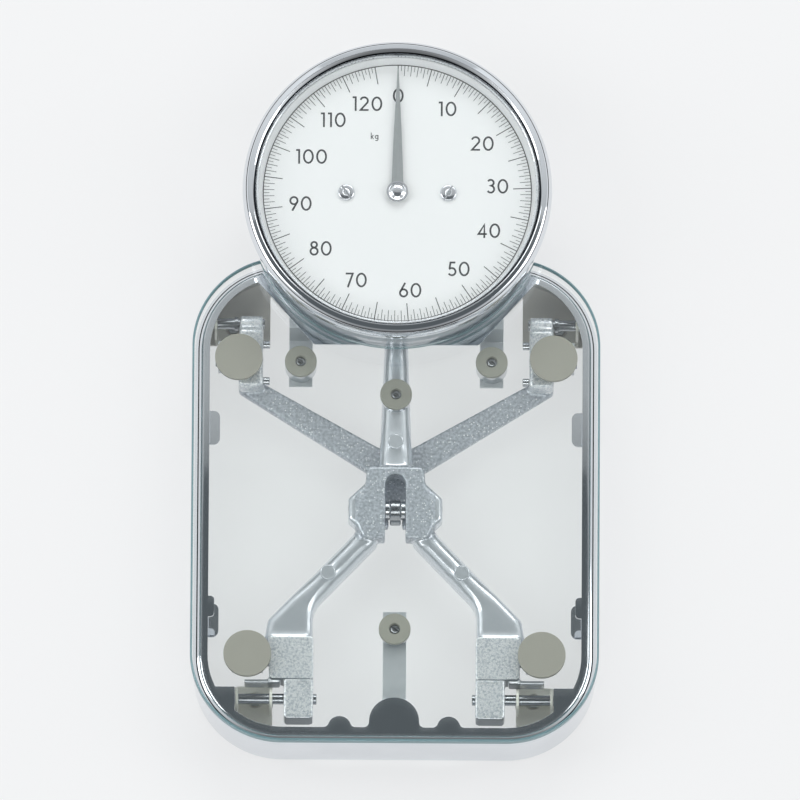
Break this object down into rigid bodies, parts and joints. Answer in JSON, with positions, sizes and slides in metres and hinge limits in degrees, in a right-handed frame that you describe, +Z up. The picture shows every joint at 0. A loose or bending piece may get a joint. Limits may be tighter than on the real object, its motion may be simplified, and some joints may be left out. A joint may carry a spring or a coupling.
{
  "type": "dial bathroom scale",
  "caption": "Mechanical person scale with a clear glass platform over an open cast lever work in a chromed base, and a round dial head with a turning pointer behind it.",
  "frame": {"origin": "on the floor under the middle of the whole outline seen from above", "axes": "+Y from the user's feet towards the dial head, +X to the user's right, +Z up"},
  "size_m": [0.3, 0.526, 0.105],
  "materials": {
    "chrome_sheet": "bright chrome plate",
    "zinc_plated_steel": "satin zinc plate",
    "bracket_plate": "dull nickel plate",
    "black_rubber": "matte",
    "buffer_plastic": "matte beige grey",
    "bright_steel": "turned and bright",
    "pin_steel": "ground bright steel",
    "spring_steel": "drawn wire",
    "cast_lever": "die cast, sparkling bright grey",
    "head_enamel": "smooth silver grey enamel",
    "brass": "machined",
    "dial_face": "satin white with printed scale",
    "reveal_enamel": "satin white",
    "pointer_metal": "flat grey metal",
    "platform_glass": "clear toughened glass",
    "crystal_glass": "clear polished glass",
    "knob_plastic": "matte black"
  },
  "bodies": {
    "base": {"base_shell": "chrome_sheet", "foot_plates": "zinc_plated_steel", "rubber_feet": "black_rubber", "foot_screws": "zinc_plated_steel", "front_brackets": "bracket_plate", "rear_brackets": "bracket_plate", "rear_stop_strips": "zinc_plated_steel", "front_stop_strip": "zinc_plated_steel", "stop_buffers": "buffer_plastic", "stop_screws": "bright_steel", "dial_housing": "head_enamel", "head_screws": "zinc_plated_steel", "movement_base": "zinc_plated_steel", "crank_shaft": "pin_steel", "movement_posts": "brass", "movement_mid_plate": "zinc_plated_steel", "rack_guide": "zinc_plated_steel", "movement_top_plate": "zinc_plated_steel", "zero_yoke": "zinc_plated_steel", "yoke_brackets": "zinc_plated_steel", "yoke_pins": "pin_steel", "spring_left": "spring_steel", "spring_right": "spring_steel", "spring_top_nuts": "zinc_plated_steel", "zero_nut": "zinc_plated_steel", "dial_seat": "zinc_plated_steel", "dial_plate": "dial_face", "dial_posts": "brass", "dial_screws": "bright_steel", "dial_ring": "reveal_enamel", "crystal_gasket": "black_rubber", "dial_crystal": "crystal_glass", "bezel": "chrome_sheet"},
    "main_lever": {"main_lever": "cast_lever", "front_fulcrum_pins": "pin_steel", "front_load_pins": "pin_steel", "cross_pin": "pin_steel", "link_collars": "bright_steel", "beam_pin": "pin_steel", "beam_buffer": "buffer_plastic", "beam_buffer_screw": "bright_steel"},
    "rear_lever": {"rear_lever": "cast_lever", "rear_fulcrum_pins": "pin_steel", "rear_load_pins": "pin_steel", "rear_nose_pin": "pin_steel", "rear_block_screws": "bright_steel"},
    "link": {"link_shackle": "pin_steel"},
    "platform": {"glass_platform": "platform_glass", "platform_pads": "buffer_plastic", "bearing_saddles": "zinc_plated_steel"},
    "crosshead": {"crosshead": "zinc_plated_steel", "pull_strip": "zinc_plated_steel", "spring_bottom_nuts": "zinc_plated_steel"},
    "bell_crank": {"bell_crank": "brass"},
    "rack": {"rack": "brass"},
    "pointer": {"pinion_shaft": "brass", "pointer": "pointer_metal", "pointer_cap": "bright_steel"},
    "zero_knob": {"zero_knob": "knob_plastic", "zero_screw": "pin_steel"}
  },
  "joints": [
    {"name": "main_lever_tilt", "type": "hinge", "parent": "base", "child": "main_lever", "pos_m": [0, -0.224, 0.033], "axis": [-1, 0, 0], "range_deg": [0, 2.48], "stiffness_Nm_per_rad": 788, "springref_deg": -0.23},
    {"name": "rear_lever_tilt", "type": "hinge", "parent": "base", "child": "rear_lever", "pos_m": [0, 0.064, 0.033], "axis": [1, 0, 0], "range_deg": [0, 2.48]},
    {"name": "platform_drop", "type": "slide", "parent": "base", "child": "platform", "axis": [0, 0, -1], "range_m": [0, 0.00126]},
    {"name": "link_drop", "type": "slide", "parent": "base", "child": "link", "axis": [0, 0, -1], "range_m": [0, 0.00623]},
    {"name": "crosshead_drop", "type": "slide", "parent": "base", "child": "crosshead", "axis": [0, 0, -1], "range_m": [0, 0.01368], "deforming": ["spring_left", "spring_right"]},
    {"name": "bell_crank_turn", "type": "hinge", "parent": "base", "child": "bell_crank", "pos_m": [0, 0.10805, 0.0555], "axis": [1, 0, 0], "range_deg": [0, 46.17]},
    {"name": "rack_run", "type": "slide", "parent": "base", "child": "rack", "axis": [0, -1, 0], "range_m": [0, 0.01833]},
    {"name": "pointer_turn", "type": "hinge", "parent": "base", "child": "pointer", "pos_m": [0, 0.1491, 0], "axis": [0, 0, -1], "range_deg": [0, 350.01]},
    {"name": "zero_knob_turn", "type": "hinge", "parent": "base", "child": "zero_knob", "pos_m": [0, 0.192, 0], "axis": [0, 0, 1], "range_deg": [-180, 180]}
  ],
  "couplings": [
    {"joint": "rear_lever_tilt", "follows": "main_lever_tilt", "ratio": 1},
    {"joint": "platform_drop", "follows": "main_lever_tilt", "m_per_rad": 0.029},
    {"joint": "link_drop", "follows": "main_lever_tilt", "m_per_rad": 0.144},
    {"joint": "crosshead_drop", "follows": "main_lever_tilt", "m_per_rad": 0.316},
    {"joint": "bell_crank_turn", "follows": "main_lever_tilt", "ratio": 18.615},
    {"joint": "rack_run", "follows": "main_lever_tilt", "m_per_rad": 0.42339},
    {"joint": "pointer_turn", "follows": "main_lever_tilt", "ratio": 141.13}
  ]
}
